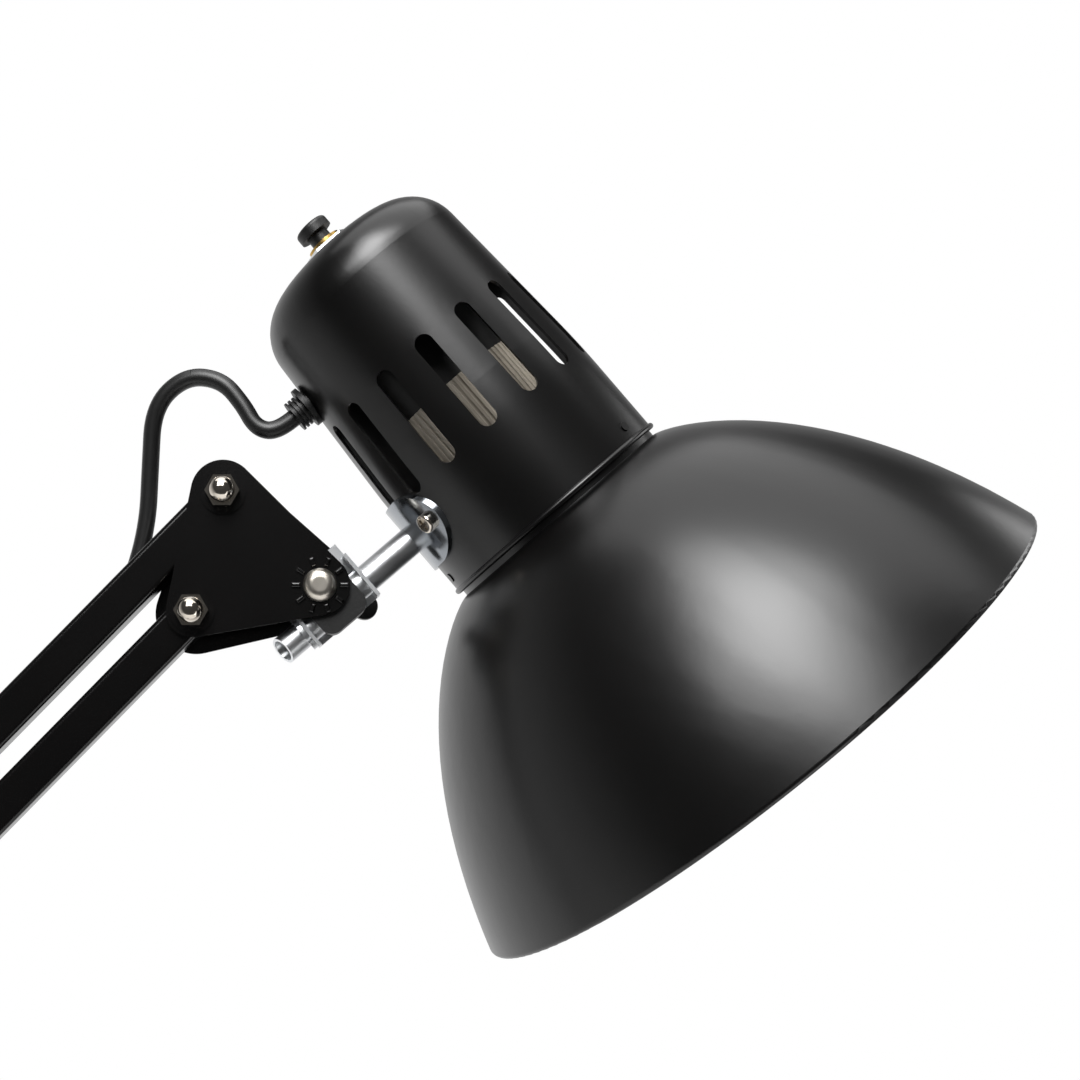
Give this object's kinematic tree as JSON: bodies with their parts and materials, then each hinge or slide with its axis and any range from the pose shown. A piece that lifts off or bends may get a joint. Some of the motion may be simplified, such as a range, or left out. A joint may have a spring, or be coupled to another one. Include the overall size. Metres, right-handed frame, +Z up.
{
  "type": "clamp lamp",
  "caption": "Jointed lamp with a dome shade on sprung parallelogram arms, held to a table edge by a screw clamp.",
  "frame": {"origin": "middle of the upper jaw's seat, where it rests on the table top", "axes": "+Z up along the swivel and clamp screw; the arms lie in the XZ plane and the lamp faces +X; the clamp opens towards -Y"},
  "size_m": [0.5309, 0.1846, 0.9415],
  "materials": {
    "black_enamel": "satin enamel",
    "zinc_plate": "bright zinc",
    "nickel_plate": "nickel plate",
    "spring_steel": "bare wire",
    "black_plastic": "moulded",
    "ivory_ceramic": "glazed",
    "brass": "plain",
    "cord_sheath": "satin sheath",
    "black_rubber": "matt"
  },
  "bodies": {
    "clamp": {"clamp_frame": "black_enamel", "jaw_pad": "black_rubber", "swivel_bush": "black_plastic", "cord_coil": "cord_sheath", "cord_tie": "black_plastic", "plug_body": "black_plastic", "plug_pins": "nickel_plate", "tail_cord": "cord_sheath"},
    "pad": {"pressure_pad": "zinc_plate", "pad_rubber": "black_rubber"},
    "screw": {"clamp_screw": "zinc_plate", "clamp_handle": "zinc_plate"},
    "fork": {"base_fork": "black_enamel", "swivel_spindle": "zinc_plate", "base_bolts": "nickel_plate", "base_cap_nuts": "nickel_plate", "base_spring_pin": "nickel_plate"},
    "lower_rear": {"lower_rear_bar": "black_enamel", "lower_spring_studs": "nickel_plate", "lower_springs": "spring_steel", "lower_arm_cord": "cord_sheath"},
    "lower_front": {"lower_front_bar": "black_enamel"},
    "elbow": {"elbow_plate_near": "black_enamel", "elbow_plate_far": "black_enamel", "elbow_bolts": "nickel_plate", "elbow_cap_nuts": "nickel_plate", "elbow_spring_pin": "nickel_plate"},
    "upper_low": {"upper_bottom_bar": "black_enamel"},
    "upper_top": {"upper_top_bar": "black_enamel", "upper_spring_studs": "nickel_plate", "upper_springs": "spring_steel", "upper_arm_cord": "cord_sheath", "elbow_cord": "cord_sheath"},
    "head_plates": {"head_plate_near": "black_enamel", "head_plate_far": "black_enamel", "head_bolts": "nickel_plate", "head_cap_nuts": "nickel_plate", "tilt_bolt": "nickel_plate", "tilt_washer": "zinc_plate"},
    "knob": {"tilt_knob": "black_plastic"},
    "knuckle": {"knuckle_clip": "zinc_plate", "knuckle_block": "black_plastic"},
    "head": {"stem_tube": "zinc_plate", "stem_retainer": "zinc_plate", "saddle_plate": "zinc_plate", "saddle_screws": "nickel_plate", "saddle_nuts": "zinc_plate", "housing": "black_enamel", "shade": "black_enamel", "shade_rivets": "black_enamel", "holder_skirt": "ivory_ceramic", "holder_cap": "black_plastic", "screw_shell": "brass", "centre_contact": "brass", "holder_nipple": "brass", "nipple_nuts": "zinc_plate", "cord_grip": "cord_sheath", "holder_lead": "cord_sheath", "head_cord": "cord_sheath"},
    "button": {"switch_button": "black_plastic"}
  },
  "joints": [
    {"name": "clamp_travel", "type": "slide", "parent": "clamp", "child": "pad", "axis": [0, 0, 1], "range_m": [-0.022, 0.027]},
    {"name": "screw_turn", "type": "hinge", "parent": "pad", "child": "screw", "pos_m": [0, 0, -0.1191], "axis": [0, 0, 1], "range_deg": [-5275, 6475]},
    {"name": "base_swivel", "type": "hinge", "parent": "clamp", "child": "fork", "pos_m": [0, 0, 0.0531], "axis": [0, 0, 1], "range_deg": [-170, 170], "deforming": ["tail_cord"]},
    {"name": "lower_arm", "type": "hinge", "parent": "fork", "child": "lower_rear", "pos_m": [-0.014, 0, 0.0531], "axis": [0, 1, 0], "range_deg": [-15, 45], "deforming": ["lower_springs", "tail_cord"]},
    {"name": "lower_front_arm", "type": "hinge", "parent": "fork", "child": "lower_front", "pos_m": [0.014, 0, 0.0531], "axis": [0, 1, 0], "range_deg": [-15, 45]},
    {"name": "elbow_link", "type": "hinge", "parent": "lower_rear", "child": "elbow", "pos_m": [-0.14397, 0, 0.41018], "axis": [0, 1, 0], "range_deg": [-45, 15], "deforming": ["elbow_cord"]},
    {"name": "upper_arm", "type": "hinge", "parent": "elbow", "child": "upper_top", "pos_m": [-0.12177, 0, 0.46563], "axis": [0, 1, 0], "range_deg": [-8, 60], "deforming": ["upper_springs", "elbow_cord"]},
    {"name": "upper_bottom_arm", "type": "hinge", "parent": "elbow", "child": "upper_low", "pos_m": [-0.12997, 0, 0.43418], "axis": [0, 1, 0], "range_deg": [-8, 60]},
    {"name": "head_link", "type": "hinge", "parent": "upper_top", "child": "head_plates", "pos_m": [0.14458, 0, 0.73667], "axis": [0, 1, 0], "range_deg": [-60, 8], "deforming": ["head_cord"]},
    {"name": "knob_turn", "type": "hinge", "parent": "head_plates", "child": "knob", "pos_m": [0.17028, 0, 0.71207], "axis": [0, 1, 0], "range_deg": [-180, 180]},
    {"name": "head_tilt", "type": "hinge", "parent": "head_plates", "child": "knuckle", "pos_m": [0.17028, 0, 0.71207], "axis": [0, 1, 0], "range_deg": [-25, 60], "deforming": ["head_cord"]},
    {"name": "head_roll", "type": "hinge", "parent": "knuckle", "child": "head", "pos_m": [0.22084, 0, 0.74698], "axis": [0.7581, 0, 0.6521], "range_deg": [-120, 120], "deforming": ["head_cord"]},
    {"name": "switch_press", "type": "slide", "parent": "head", "child": "button", "axis": [0.6521, 0, -0.7581], "range_m": [0, 0.0025], "stiffness_N_per_m": 400}
  ],
  "couplings": [
    {"joint": "clamp_travel", "follows": "screw_turn", "m_per_rad": 0.00023873},
    {"joint": "lower_front_arm", "follows": "lower_arm", "ratio": 1},
    {"joint": "elbow_link", "follows": "lower_arm", "ratio": -1},
    {"joint": "upper_bottom_arm", "follows": "upper_arm", "ratio": 1},
    {"joint": "head_link", "follows": "upper_arm", "ratio": -1}
  ]
}
